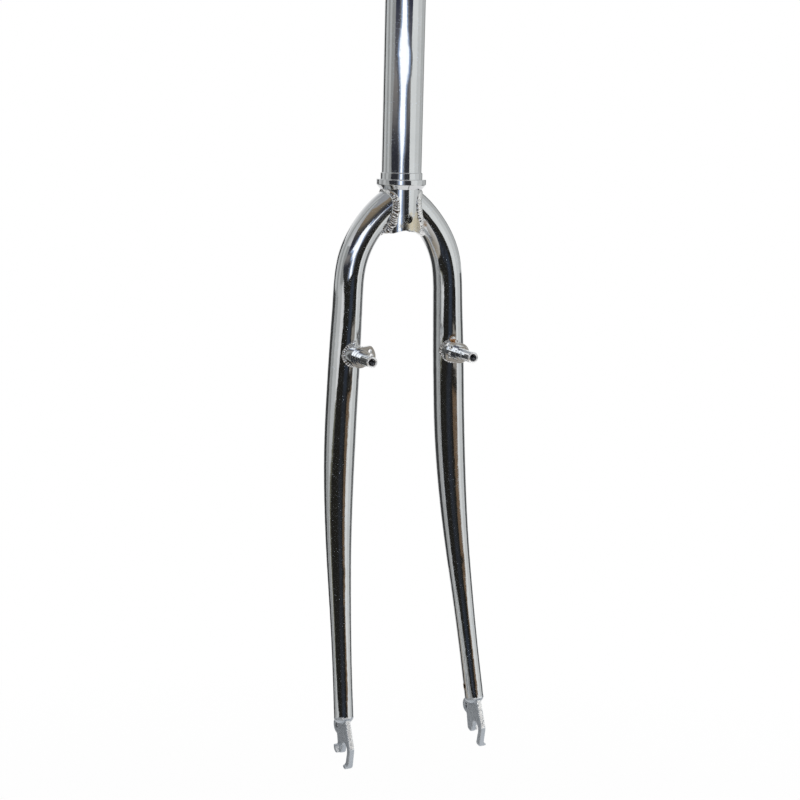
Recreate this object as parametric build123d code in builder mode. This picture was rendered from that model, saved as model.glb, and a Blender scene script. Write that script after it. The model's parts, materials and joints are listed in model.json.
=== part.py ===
from build123d import *
import os
from math import cos, radians, sin, sqrt, tan

# Rigid bicycle fork with unicrown blades, cantilever brake posts and slotted fork ends.
# Millimetres. The origin is on the steerer's axis, in the plane that carries the lower
# headset race. +Z runs up the steerer, -Y is forward and +X is the rider's left.

# Steerer tube
steerer_diameter = 28.6
steerer_root_diameter = 29.0    # up to the race seat's top, where the ring and the blades are joined
steerer_height = 260.0          # uncut, above the race plane
steerer_wall = 1.6
steerer_butt_wall = 2.4         # thicker wall beside the crown
steerer_butt_height = 45.0      # top of the thick wall, above the race plane
steerer_butt_taper = 25.0       # length over which the bore opens out
steerer_tail = 0.4              # how far the tube ends below the blades' joint
steerer_chamfer = 0.4
crown_hole_diameter = 6.5
crown_hole_drop = 27.4

# Crown race seat
seat_diameter = 30.1
seat_height = 4.7
seat_chamfer = 0.4
flange_diameter = 35.5
flange_height = 3.8
flange_rounding = 0.6
cone_height = 3.2
cone_land = 0.6                 # width of the cone's lower rim

# Blades
blade_diameter = 23.2
blade_tip_diameter = 14.3
blade_wall = 1.2
bend_flattening = 0.9           # loss of half width where the tube is bent
flattening_start_drop = 72.0
flattening_end_drop = 140.0
taper_start_drop = 171.0
taper_end_drop = 360.0
joint_gap = 0.6                 # from the race seat's cone down to the blades
stub_angle = 45.8               # of the blade's top from the vertical, in degrees
knee_reach = 37.7               # where the stub's axis meets the leg's axis
bend_radius = 68.4
rake_knee_drop = 224.3
rake_radius = 545.0
rake_angle = 13.5               # of the blade's tip from the vertical, in degrees
blade_tip_drop = 383.0
vent_diameter = 3.4
vent_height = 9.0               # above the blade's tip, along it
blade_stations = 26             # sections along each blade

# Fork ends
hub_width = 101.6               # between the fork ends' inner faces
plate_thickness = 4.0
axle_ahead = 6.9                # of the blade's tip
axle_below = 22.0
slot_width = 9.2
slot_tilt = 14.0                # degrees that the slot runs rearward on its way down
front_leg_width = 5.5
front_leg_length = 11.0         # along the slot, from the axle
front_leg_hip = 3.0             # height above the axle where the front leg turns to the blade
rear_leg_width = 6.2
rear_leg_length = 7.6
leg_rounding = 2.5
hip_rounding = 7.0
rear_lip_height = 3.2           # out from the plate
rear_lip_drop = 0.6             # from the axle down to the lip's top
recess_diameter = 19.4          # seat of the axle's nut against the rear lip
foot_top = 4.0                  # below the axle, where the front leg starts to bend
foot_lip_height = 2.2           # out from the plate
foot_thickness = 2.8
foot_outer_bend = 3.2
foot_inner_bend = 2.0
foot_tip_rounding = 0.9
shoulder_depth = 1.2            # of the plate below the blade's end, along the blade
shoulder_front = 7.4            # of the plate, ahead of the blade's axis
shoulder_rear = 6.4
shoulder_rounding = 1.0
tongue_length = 9.0
tongue_clearance = 0.6
relief_depth = 0.4              # of the inner face beside the weld, which keeps it off the hub's seat
relief_margin = 0.3             # round the weld
eyelet_diameter = 4.2           # tapping size for an M5 thread
eyelet_radius = 5.6
eyelet_behind = 16.2            # of the axle
eyelet_above = 12.0
eyelet_blend = 1.4
tongue_overlap = 0.6            # of the tongue with the plate

# Brake bosses
post_spacing = 78.0
post_drop = 123.5
boss_diameter = 14.4
boss_front = 21.0               # ahead of the blade's axis
shoulder_diameter = 11.5
shoulder_end = 28.5
post_diameter = 8.0
post_tip = 45.5
post_chamfer = 0.8
post_bore = 5.0                 # tapping size for an M6 thread
post_bore_depth = 15.0
post_countersink = 0.5

# Spring plates
spring_plate_thickness = 3.0
spring_plate_radius = 7.4
ear_radius = 11.6
ear_tilt = 9.0                  # degrees that the ear points upward
ear_half_height = 7.0
ear_rounding = 2.0
spring_hole_diameter = 2.7
spring_hole_count = 3
spring_hole_circle = 8.6        # radius of the circle through the three holes
spring_hole_step = 22.0         # degrees between them

# Welds
crown_bead = 1.6                # height of the bead over each skin
boss_bead = 1.2
weld_drop_radius = 2.4          # drop of filler on top of each boss
dome_height = 5.0

steerer_radius = steerer_diameter / 2
root_radius = steerer_root_diameter / 2
blade_radius = blade_diameter / 2
tip_radius = blade_tip_diameter / 2
joint_half_width = blade_radius - bend_flattening
stub = radians(stub_angle)
rake = radians(rake_angle)
slant = radians(slot_tilt)

# The blade's axis runs from the steerer's axis to the knee, then to the rake knee and the tip.
joint_top = flange_height + cone_height + joint_gap
upper_reach = (root_radius - joint_half_width * cos(stub)) / sin(stub)
lower_reach = (root_radius + joint_half_width * cos(stub)) / sin(stub)
axis_drop = joint_top - upper_reach * cos(stub) + joint_half_width * sin(stub)
joint_bottom = axis_drop + lower_reach * cos(stub) + joint_half_width * sin(stub)
knee_drop = axis_drop + knee_reach / tan(stub)
plate_centre = hub_width / 2 + plate_thickness / 2
leg_splay = (plate_centre - knee_reach) / (blade_tip_drop - knee_drop)
tip_y = -(blade_tip_drop - rake_knee_drop) * tan(rake)


def ease(share):
    """Smooth step from 0 to 1 as share goes from 0 to 1."""
    share = min(max(share, 0.0), 1.0)
    return share * share * (3 - 2 * share)


def leg_x(drop):
    """Distance of the straight leg's axis from the middle plane."""
    return knee_reach + leg_splay * (drop - knee_drop)


def half_depth(drop):
    """Half of the blade's size from front to back."""
    taper = ease((drop - taper_start_drop) / (taper_end_drop - taper_start_drop))
    return blade_radius + (tip_radius - blade_radius) * taper


def half_width(drop):
    """Half of the blade's size across, which the bend flattens."""
    span = flattening_end_drop - flattening_start_drop
    return half_depth(drop) - bend_flattening * (1 - ease((drop - flattening_start_drop) / span))


with BuildLine() as blade_route:
    FilletPolyline(
        (0, 0, -axis_drop),
        (knee_reach, 0, -knee_drop),
        (leg_x(rake_knee_drop), 0, -rake_knee_drop),
        (plate_centre, tip_y, -blade_tip_drop),
        radius=[bend_radius, rake_radius],
    )
blade_axis = blade_route.wire()
tip_plane = Plane(origin=blade_axis @ 1, x_dir=(0, 1, 0), z_dir=blade_axis % 1)


def blade_sections(inset):
    """Faces across the blade's axis, smaller than its skin by the inset."""
    faces = []
    for station in range(blade_stations):
        share = station / (blade_stations - 1)
        centre = blade_axis @ share
        drop = -centre.Z
        with BuildSketch(Plane(origin=centre, x_dir=(0, 1, 0), z_dir=blade_axis % share)) as section:
            Ellipse(half_depth(drop) - inset, half_width(drop) - inset)
        faces.append(section.sketch.face())
    return faces


# Steerer: a turned tube, thicker at its root, with the through hole at the crown
bore_radius = steerer_radius - steerer_wall
butt_radius = steerer_radius - steerer_butt_wall
steerer_bottom = -(joint_bottom + steerer_tail)
with BuildPart() as steerer_tube:
    with BuildSketch(Plane.XZ):
        with BuildLine():
            Polyline(
                (root_radius, steerer_bottom),
                (root_radius, seat_height),
                (steerer_radius, seat_height),
                (steerer_radius, steerer_height),
                (bore_radius, steerer_height),
                (bore_radius, steerer_butt_height + steerer_butt_taper),
                (butt_radius, steerer_butt_height),
                (butt_radius, steerer_bottom),
                close=True,
            )
        make_face()
    revolve(axis=Axis.Z)
    chamfer(steerer_tube.faces().sort_by(Axis.Z)[-1].edges(), steerer_chamfer)
    with Locations(Plane(origin=(0, 0, -crown_hole_drop), z_dir=(0, -1, 0))):
        Hole(crown_hole_diameter / 2)

# Everything inside the steerer's skin, which the blades and their welds are mitred to
with BuildPart() as steerer_space:
    Cylinder(root_radius, 2 * blade_tip_drop)

# Crown race seat: a ring with a flange, coned underneath
with BuildPart() as crown_race_seat:
    with BuildSketch(Plane.XZ):
        with BuildLine():
            Polyline(
                (root_radius, seat_height),
                (seat_diameter / 2, seat_height),
                (seat_diameter / 2, 0),
                (flange_diameter / 2, 0),
                (flange_diameter / 2, -flange_height),
                (root_radius + cone_land, -flange_height - cone_height),
                (root_radius, -flange_height - cone_height),
                close=True,
            )
        make_face()
    revolve(axis=Axis.Z)
    flange_rims = crown_race_seat.edges().filter_by(GeomType.CIRCLE).sort_by(SortBy.RADIUS)[-2:]
    fillet(flange_rims, flange_rounding)
    seat_rim = crown_race_seat.edges().group_by(Axis.Z)[-1].sort_by(SortBy.RADIUS)[-1]
    chamfer(seat_rim, seat_chamfer)

# Blade: a tapered, bent and raked tube, mitred to the steerer
with BuildPart() as blade_body:
    loft(blade_sections(0))

with BuildPart() as left_blade:
    add(blade_body.part)
    loft(blade_sections(blade_wall), mode=Mode.SUBTRACT)
    add(steerer_space.part, mode=Mode.SUBTRACT)
    vent_share = 1 - vent_height / blade_axis.length
    with Locations(Plane(origin=blade_axis @ vent_share, x_dir=(0, 1, 0), z_dir=(-1, 0, 0))):
        Cylinder(
            vent_diameter / 2,
            blade_radius,
            align=(Align.CENTER, Align.CENTER, Align.MIN),
            mode=Mode.SUBTRACT,
        )

# Fork end: a forged plate seen from the side, x forward and y up from the axle
axle_y = tip_y - axle_ahead
axle_z = -blade_tip_drop - axle_below
outer_face = Plane(
    origin=(hub_width / 2 + plate_thickness, axle_y, axle_z),
    x_dir=(0, -1, 0),
    z_dir=(-1, 0, 0),
)


def by_blade(along, across):
    """Point on the fork end's plate, given along the blade from its tip and ahead of its axis."""
    return (
        -axle_ahead + along * sin(rake) + across * cos(rake),
        axle_below - along * cos(rake) + across * sin(rake),
    )


def by_slot(along, across):
    """Point on the fork end's plate, given along the slot from the axle and ahead of its middle."""
    return (
        across * cos(slant) - along * sin(slant),
        -across * sin(slant) - along * cos(slant),
    )


slot_radius = slot_width / 2
front_edge = slot_radius + front_leg_width
rear_edge = -slot_radius - rear_leg_width
eyelet_centre = (-eyelet_behind, eyelet_above)
tongue_half_width = sqrt((tip_radius - blade_wall) ** 2 - (plate_thickness / 2) ** 2) - tongue_clearance
with BuildSketch(outer_face) as plate_profile:
    with BuildLine():
        FilletPolyline(
            by_blade(shoulder_depth, shoulder_front),
            (front_edge, front_leg_hip),
            by_slot(front_leg_length, front_edge),
            by_slot(front_leg_length, 0),
            by_slot(rear_leg_length, 0),
            by_slot(rear_leg_length, rear_edge),
            eyelet_centre,
            by_blade(shoulder_depth, -shoulder_rear),
            radius=[
                shoulder_rounding,
                hip_rounding,
                leg_rounding,
                0,
                0,
                leg_rounding,
                0,
                shoulder_rounding,
            ],
            close=True,
        )
    make_face()
    with Locations(eyelet_centre):
        Circle(eyelet_radius)
    fillet(plate_profile.vertices().sort_by_distance(eyelet_centre)[:2], eyelet_blend)
    with Locations(by_slot(front_leg_length, 0)):
        Rectangle(slot_width, 2 * front_leg_length, rotation=-slot_tilt, mode=Mode.SUBTRACT)
    Circle(slot_radius, mode=Mode.SUBTRACT)
    mouth_front = plate_profile.vertices().sort_by_distance(by_slot(front_leg_length, slot_radius))[0]
    mouth_rear = plate_profile.vertices().sort_by_distance(by_slot(rear_leg_length, -slot_radius))[0]
    fillet([mouth_front, mouth_rear], leg_rounding)

# The front leg ends in a foot that is bent outward, seen here from the front
front_view = Plane(
    origin=(hub_width / 2, axle_y, axle_z),
    x_dir=(1, 0, 0),
    z_dir=(0, -1, 0),
)
foot_reach = plate_thickness + foot_lip_height
foot_sole = by_slot(front_leg_length, front_edge)[1]
with BuildPart() as front_foot:
    with BuildSketch(front_view):
        with BuildLine():
            FilletPolyline(
                (0, -foot_top),
                (0, foot_sole),
                (foot_reach, foot_sole),
                (foot_reach, foot_sole + foot_thickness),
                (plate_thickness, foot_sole + foot_thickness),
                (plate_thickness, -foot_top),
                radius=[0, foot_outer_bend, foot_tip_rounding, foot_tip_rounding, foot_inner_bend, 0],
                close=True,
            )
        make_face()
    extrude(amount=2 * front_edge, both=True)
    with BuildSketch(outer_face):
        add(plate_profile.sketch_local)
        with Locations(by_slot(0, 0)):
            Rectangle(
                front_edge,
                2 * front_leg_length,
                rotation=-slot_tilt,
                align=(Align.MIN, Align.CENTER),
                mode=Mode.INTERSECT,
            )
    extrude(amount=2 * foot_reach, both=True, mode=Mode.INTERSECT)

# The rear leg's lip is a rim on the plate's outer face, outside the nut's seat
with BuildSketch(outer_face) as rear_lip:
    add(plate_profile.sketch_local)
    with Locations((-slot_radius, -rear_lip_drop)):
        Rectangle(
            eyelet_behind,
            2 * rear_leg_length,
            align=(Align.MAX, Align.MAX),
            mode=Mode.INTERSECT,
        )
    Circle(recess_diameter / 2, mode=Mode.SUBTRACT)

with BuildPart() as left_dropout:
    with BuildSketch(outer_face):
        add(plate_profile.sketch_local)
        with Locations((slot_radius - front_edge, -foot_top)):
            Rectangle(
                2 * front_edge,
                2 * front_leg_length,
                align=(Align.MIN, Align.MAX),
                mode=Mode.SUBTRACT,
            )
    extrude(amount=plate_thickness)
    extrude(rear_lip.sketch, amount=-rear_lip_height)
    add(front_foot.part)
    with BuildSketch(outer_face):
        Polygon(
            by_blade(-tongue_length, tongue_half_width),
            by_blade(shoulder_depth + tongue_overlap, tongue_half_width),
            by_blade(shoulder_depth + tongue_overlap, -tongue_half_width),
            by_blade(-tongue_length, -tongue_half_width),
            align=None,
        )
    extrude(amount=plate_thickness - relief_depth)
    with BuildSketch(outer_face.offset(plate_thickness - relief_depth)):
        with Locations(by_blade(0, 0)):
            Ellipse(tip_radius + relief_margin, dome_height + relief_margin, rotation=rake_angle)
    extrude(amount=relief_depth, mode=Mode.SUBTRACT)
    with BuildSketch(outer_face):
        with Locations(eyelet_centre):
            Circle(eyelet_diameter / 2)
    extrude(amount=plate_thickness, mode=Mode.SUBTRACT)

# Weld that closes the blade's tip in a dome round the fork end
tip_section = Plane(origin=tip_plane.origin, x_dir=tip_plane.x_dir, z_dir=-tip_plane.y_dir)
with BuildPart() as left_dropout_weld:
    with BuildSketch(tip_section):
        with BuildLine():
            EllipticalCenterArc((0, 0), tip_radius, dome_height, start_angle=0, arc_size=90)
            Polyline((0, dome_height), (0, 0), (tip_radius, 0))
        make_face()
    revolve(axis=Axis(tip_plane.origin, tip_plane.z_dir))
    add(left_dropout.part, mode=Mode.SUBTRACT)

# Brake boss: turned in one piece with its post, pointing forward
post_plane = Plane(origin=(post_spacing / 2, 0, -post_drop), x_dir=(1, 0, 0), z_dir=(0, -1, 0))
post_axis = Axis(post_plane.origin, post_plane.z_dir)
post_section = Plane(origin=post_plane.origin, x_dir=(1, 0, 0), z_dir=(0, 0, -1))
with BuildPart() as left_brake_boss:
    with BuildSketch(post_section):
        with BuildLine():
            Polyline(
                (0, 0),
                (boss_diameter / 2, 0),
                (boss_diameter / 2, boss_front),
                (shoulder_diameter / 2, boss_front),
                (shoulder_diameter / 2, shoulder_end),
                (post_diameter / 2, shoulder_end),
                (post_diameter / 2, post_tip),
                (0, post_tip),
                close=True,
            )
        make_face()
    revolve(axis=post_axis)
    tip_face = left_brake_boss.faces().sort_by(Axis.Y)[0]
    chamfer(tip_face.edges(), post_chamfer)
    with Locations(post_plane.offset(post_tip)):
        CounterSinkHole(post_bore / 2, post_bore / 2 + post_countersink, depth=post_bore_depth)
    add(blade_body.part, mode=Mode.SUBTRACT)

# Spring plate: stamped, with an ear towards the wheel that holds three spring holes
ear = radians(ear_tilt)
ear_plane = Plane(
    origin=post_plane.offset(boss_front).origin,
    x_dir=(cos(ear), 0, -sin(ear)),
    z_dir=post_plane.z_dir,
)
with BuildPart() as left_spring_plate:
    with BuildSketch(ear_plane) as spring_profile:
        Circle(ear_radius)
        with Locations((-ear_radius, 0)):
            Rectangle(2 * ear_radius, 2 * ear_half_height, mode=Mode.INTERSECT)
        fillet(spring_profile.vertices().group_by(Axis.X)[0], ear_rounding)
        Circle(spring_plate_radius)
        Circle(shoulder_diameter / 2, mode=Mode.SUBTRACT)
        with PolarLocations(
            spring_hole_circle,
            spring_hole_count,
            start_angle=180 - spring_hole_step * (spring_hole_count - 1) / 2,
            angular_range=spring_hole_step * (spring_hole_count - 1),
            endpoint=True,
        ):
            Circle(spring_hole_diameter / 2, mode=Mode.SUBTRACT)
    extrude(amount=spring_plate_thickness)

# Weld beads: what lies close to both skins, round the blade's joint and round the boss
with BuildPart() as left_crown_weld:
    loft(blade_sections(-crown_bead))
    Cylinder(root_radius + crown_bead, 2 * blade_tip_drop, mode=Mode.INTERSECT)
    add(steerer_space.part, mode=Mode.SUBTRACT)
    add(blade_body.part, mode=Mode.SUBTRACT)
    add(crown_race_seat.part, mode=Mode.SUBTRACT)

with BuildPart() as left_boss_weld:
    loft(blade_sections(-boss_bead))
    with Locations(post_plane):
        Cylinder(
            boss_diameter / 2 + boss_bead,
            boss_front,
            align=(Align.CENTER, Align.CENTER, Align.MIN),
            mode=Mode.INTERSECT,
        )
    drop_height = post_drop - boss_diameter / 2 - boss_bead
    with Locations((post_spacing / 2, -half_depth(drop_height), -drop_height)):
        Sphere(weld_drop_radius)
    add(blade_body.part, mode=Mode.SUBTRACT)
    add(left_brake_boss.part, mode=Mode.SUBTRACT)

# The right side mirrors the left one
left_pieces = {
    "blade": left_blade,
    "dropout": left_dropout,
    "dropout_weld": left_dropout_weld,
    "brake_boss": left_brake_boss,
    "spring_plate": left_spring_plate,
    "crown_weld": left_crown_weld,
    "boss_weld": left_boss_weld,
}
os.makedirs("parts", exist_ok=True)
steerer_tube.part.label = "steerer_tube"
export_step(steerer_tube.part, "parts/steerer_tube.step")
crown_race_seat.part.label = "crown_race_seat"
export_step(crown_race_seat.part, "parts/crown_race_seat.step")
for name, left_piece in left_pieces.items():
    left_piece.part.label = "left_" + name
    export_step(left_piece.part, f"parts/left_{name}.step")
    with BuildPart() as right_piece:
        mirror(left_piece.part, about=Plane.YZ)
    right_piece.part.label = "right_" + name
    export_step(right_piece.part, f"parts/right_{name}.step")
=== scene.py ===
import json
import math

import bmesh
import bpy
from mathutils import Matrix, Vector, kdtree, noise


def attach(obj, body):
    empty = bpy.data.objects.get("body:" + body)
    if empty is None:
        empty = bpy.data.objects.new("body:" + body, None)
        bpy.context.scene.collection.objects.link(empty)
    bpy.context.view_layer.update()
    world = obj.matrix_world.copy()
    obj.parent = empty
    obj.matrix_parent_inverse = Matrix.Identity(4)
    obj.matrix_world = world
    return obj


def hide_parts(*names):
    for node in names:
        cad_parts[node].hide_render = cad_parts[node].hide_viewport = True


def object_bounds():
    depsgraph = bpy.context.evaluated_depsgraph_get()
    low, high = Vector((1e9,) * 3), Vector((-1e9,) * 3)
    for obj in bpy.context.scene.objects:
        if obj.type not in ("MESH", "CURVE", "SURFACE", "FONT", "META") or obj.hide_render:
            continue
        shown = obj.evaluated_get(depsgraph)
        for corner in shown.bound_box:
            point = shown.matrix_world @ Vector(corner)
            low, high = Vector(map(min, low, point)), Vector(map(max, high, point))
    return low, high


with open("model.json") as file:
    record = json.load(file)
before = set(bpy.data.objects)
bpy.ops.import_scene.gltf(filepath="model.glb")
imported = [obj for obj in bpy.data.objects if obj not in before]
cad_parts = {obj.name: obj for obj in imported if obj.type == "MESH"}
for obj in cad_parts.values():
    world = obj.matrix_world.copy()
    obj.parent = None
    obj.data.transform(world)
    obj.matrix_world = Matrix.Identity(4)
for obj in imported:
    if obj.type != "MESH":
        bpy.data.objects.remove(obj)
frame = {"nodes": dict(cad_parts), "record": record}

# Looks of a rigid, chromed bicycle fork. Metres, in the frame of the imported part: the origin is
# on the steerer's axis in the plane of the lower headset race, +Z runs up the steerer, -Y is
# forward and +X is the rider's left.

MM = 0.001
SIDES = (("left", 1), ("right", -1))
cad_low, cad_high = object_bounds()
nodes = frame["nodes"]
mounts = {mount["name"]: mount for mount in frame["record"]["mounts"]}

# Camera, worked out from the outlines of the steerer, the blades and the brake posts
PHOTO_SIZE = 800                     # pixels
FOCAL_LENGTH = 1446.1                # pixels
SENSOR_WIDTH = 36.0                  # millimetres
CAMERA_AZIMUTH = math.radians(-24.432)
CAMERA_ELEVATION = math.radians(10.632)
CAMERA_ROLL = math.radians(1.365)
CAMERA_PLACE = Vector((-427.6, -948.7, 35.2)) * MM
PICTURE_SHIFT = 0.25                 # pixels, right and down

# Room and lamps
FLOOR_HEIGHT = -1.6
FLOOR_SIZE = 14.0
FLOOR_PAINT = (0.92, 0.92, 0.92)
FLOOR_GLOW = 0.35                    # share of plain white near the fork
FLOOR_FADE = (1.0, 3.2)              # distances over which the floor turns all white
SKY_FADE = (0.35, 0.85)              # sines of the angles over which the sky turns dull
SKY_OVERHEAD = (0.42, 0.43, 0.45)
SOFT_LIGHT_PLACE = Vector((0.3, -0.2, 1.6))
SOFT_LIGHT_SIZE = 2.5
SOFT_LIGHT_POWER = 9.0               # watts
FLASH_RISE = 0.113                   # over the lens
FLASH_SIZE = 0.2
FLASH_POWER = 1.5                    # watts

# Colours of the cards
BLACK = (0.02, 0.019, 0.016)
BLUE = (0.042, 0.055, 0.08)
NAVY = (0.03, 0.034, 0.042)
BROWN = (0.21, 0.14, 0.085)
TAUPE = (0.36, 0.33, 0.29)
OLIVE = (0.17, 0.165, 0.12)
HAZE = (0.42, 0.45, 0.5)
HAZE_EDGE = (0.1, 0.1, 0.11)
GLOW = (0.42, 0.56, 0.85)
WHITE = (1.6, 1.65, 1.7)
GROUND_EDGE = (0.85, 0.85, 0.85)
WALL_TINT = (0.98, 1.0, 0.99)        # a little greenish, as the room is

# Distances of the cards from the steerer's axis, with the strip light in front
LIGHT_DISTANCE = 0.50
GLOW_DISTANCE = 0.52
HAZE_DISTANCE = 0.53
BROWN_DISTANCE = 0.55
BLUE_DISTANCE = 0.56
SHADE_DISTANCE = 0.575
DARK_DISTANCE = 0.58
BLADE_DISTANCE = 0.60
GROUND_DISTANCE = 1.1
ROOM_DISTANCE = 2.2
CARD_STEPS = 24

# Rows of the cards: a height, two edges in degrees to the right of the camera and a colour
DARK_ROWS = (
    (0.80, -60, 30, (0.36, 0.29, 0.21)),
    (0.46, -56, 44, (0.26, 0.21, 0.15)),
    (0.38, -56, 44, (0.11, 0.1, 0.085)),
    (0.20, -52, 45, (0.03, 0.034, 0.06)),
    (0.165, -52, 45, (0.05, 0.054, 0.085)),
    (0.13, -53, 43, (0.14, 0.14, 0.16)),
    (0.09, -54, 41, (0.3, 0.28, 0.27)),
    (0.05, -60, 44, (0.2, 0.19, 0.19)),
    (0.03, -61, 44, (0.09, 0.09, 0.1)),
    (0.01, -62, 45, (0.04, 0.042, 0.055)),
    (-0.05, -52, 48, (0.035, 0.035, 0.035)),
    (-0.10, -40, 52, BLACK),
    (-0.135, -28, 62, BLACK),
    (-0.19, -36, 66, BLACK),
    (-0.22, -42, 67, BLACK),
    (-0.25, -50, 66, BLACK),
    (-0.275, -60, 50, BLACK),
    (-0.30, -66, 46, BLACK),
    (-0.42, -68, 46, BLACK),
)
BLUE_ROWS = (
    (-0.10, 4, 34, BLUE),
    (-0.135, 4, 40, BLUE),
    (-0.19, 0, 36, BLUE),
    (-0.25, -8, 30, NAVY),
    (-0.275, -20, 26, NAVY),
    (-0.38, -20, 26, BLUE),
)
BROWN_ROWS = (
    (-0.248, 60, 66, BROWN),
    (-0.254, 32, 66, BROWN),
    (-0.268, 32, 60, BROWN),
    (-0.274, 42, 52, BROWN),
    (-0.29, 40, 48, BROWN),
    (-0.36, 36, 58, BROWN),
)
SHADE_ROWS = (
    (-0.22, -47, -38, OLIVE),
    (-0.25, -55, -46, OLIVE),
    (-0.275, -65, -56, OLIVE),
    (-0.30, -71, -62, OLIVE),
    (-0.42, -73, -64, OLIVE),
)
POST_ROWS = (
    (-0.18, 38, 67, TAUPE),
    (-0.225, 38, 67, TAUPE),
)
GROUND_ROWS = (
    (-0.72, -150, 20, (0.5, 0.45, 0.38)),
    (-0.95, -150, 20, (0.4, 0.34, 0.26)),
    (-1.5, -150, 20, (0.3, 0.27, 0.22)),
)

# Rows of the strip light: a height and two edges
STRIP_EDGES = (
    (0.210, -11, 6),
    (0.171, -12.8, 6.7),
    (0.140, -12.8, 12.3),
    (0.127, -22, 18),
    (0.111, -28, 29),
    (0.096, -20, 29),
    (0.081, -14, 16),
    (0.066, -12, 13),
    (0.047, -15, 14),
    (0.036, -14, 14),
    (0.018, -8, 11),
    (0.003, -4, 5),
    (-0.015, -5, 5),
    (-0.035, -8, 5),
    (-0.075, -10, 5),
)

# Plain cards: a name, two edges, the lowest and the highest height and a grey level
BLADE_WALLS = (
    ("blade_line", -137, -104, -0.8, -0.11, 0.06),
    ("blade_streak", -86, -81, -0.8, -0.11, 0.3),
)
ROOM_WALLS = (
    ("left_wall", -122, -104, -1.5, 4.0, 0.68),
    ("left_groove", -104, -90, -1.5, 4.0, 0.44),
    ("left_light", -90, -75, -1.5, 4.0, 0.68),
    ("left_streak", -75, -50, -0.1, 1.0, 0.42),
    ("left_shade", -75, -50, -1.5, -0.1, 0.72),
    ("left_low", -50, -12, -1.5, -0.5, 0.38),
    ("left_line", -147, -124, -1.2, 0.6, 0.1),
    ("right_wall", 40, 80, -1.5, 4.0, 1.0),
    ("right_light", 80, 112, -1.5, 4.0, 0.82),
    ("right_shade", 112, 148, -0.14, 4.0, 0.62),
    ("right_line", 112, 146, -1.2, -0.14, 0.12),
    ("right_edge", 148, 170, -0.14, 1.0, 0.3),
)

# Fork, as in the part's source
ROOT_RADIUS = 14.5 * MM              # of the steerer beside the crown
BLADE_RADIUS = 11.6 * MM
JOINT_HALF_WIDTH = 10.7 * MM         # of the blade, where the bend flattens it
STUB_ANGLE = math.radians(45.8)      # between the steerer and the blade's start
AXIS_DROP = 8.42 * MM                # of the point where their axes meet
POST_X = 39.0 * MM
POST_DROP = 123.5 * MM
POST_REACH = 44.7 * MM               # of the post ahead of the steerer's axis, up to its chamfer
BOSS_RADIUS = 7.2 * MM
BOSS_BLADE_X = 41.2 * MM             # the blade's axis beside the boss
BOSS_BLADE_HALF_WIDTH = 11.47 * MM
TIP_RADIUS = 7.15 * MM
TIP_PLACE = Vector((52.8, -38.1, -383.0)) * MM
TIP_DIRECTION = Vector((7.09, -38.1, -158.7)).normalized()
DOME_HEIGHT = 5.0 * MM

# Plating: the sizes of its marks, and their colours and roughness
CHROME = (0.64, 0.65, 0.66)
BROWN_STAIN = (0.3, 0.2, 0.12)
CLOUD_SIZE = 22 * MM
CLOUD_LEVEL = 0.92                   # of the plating's brightness, where it is duller
STAIN_SIZE = 7 * MM
STAIN_ROUGHNESS = 0.2
SPOT_PULL = 0.42                     # of a spot on the stains near it
HAZE_SIZE = 3 * MM
WAVE_SIZE = 9 * MM
WAVE_DEPTH = 0.035 * MM
EDGE_ROUND = 0.35 * MM
# Painted glints of the flash on the plates: the size and colour of their specks
SPECK_SIZE = 0.9 * MM
FLASH_GLINT_COLOUR = (0.97, 0.97, 0.97)
# Painted sparkles: fine bluish white dots in patches, standing in for glints of the flash
DOT_SIZE = 0.9 * MM
DOT_PATCH_SIZE = 16 * MM
SPARKLE_COLOUR = (0.7, 0.8, 0.94)
DOT_ROUGHNESS = 0.27
# Painted highlight on the ends of the posts: white, and rougher
POST_END_HIGHLIGHT = (0.95, 0.95, 0.95)
POST_END_ROUGHNESS = 0.3

# Fades of the plating's marks: where each one starts and where it is full
CLOUD_FADE = (0.3, 0.7)
STAIN_FADE = (-0.08, 0.06)           # about the level that the share of stains gives
# GROOVE_FADE places the painted shade in a bead's grooves
GROOVE_FADE = (0.08, 0.4)
HAZE_FADE = (0.35, 0.75)
# The next three place the painted flash glints: on normals facing forward and a little up, in specks
FRONT_FADE = (-0.7, -0.85)           # of the normal's Y
RISING_FADE = (0.1, 0.3)             # of the normal's Z
SPECK_FADE = (0.36, 0.5)
DOT_FADE = (0.34, 0.2)               # of the distance from a dot's middle
DOT_CHOICE = 0.02                    # between the dots that show and the others
DOT_PATCH_FADE = (0.28, 0.62)
PIT_FADE = (0.45, 0.0)               # of the distance from a pit's middle
POST_END_FADE = 0.3 * MM               # of the end of a post that is painted white as a highlight and made rougher

# Stained spots: a place and a radius, and the share of it that is stained most
SPOT_CORE = 0.2
STAINED_SPOTS = (
    (Vector((45.2, -36.0, -374.3)) * MM, 6 * MM),     # left vent hole
    (Vector((-45.2, -36.0, -374.3)) * MM, 6 * MM),    # right vent hole
    (Vector((39.0, -11.6, -114.0)) * MM, 5 * MM),     # left drop of filler
    (Vector((6.5, -13.0, -31.0)) * MM, 17 * MM),      # hole in the crown
)

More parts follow.
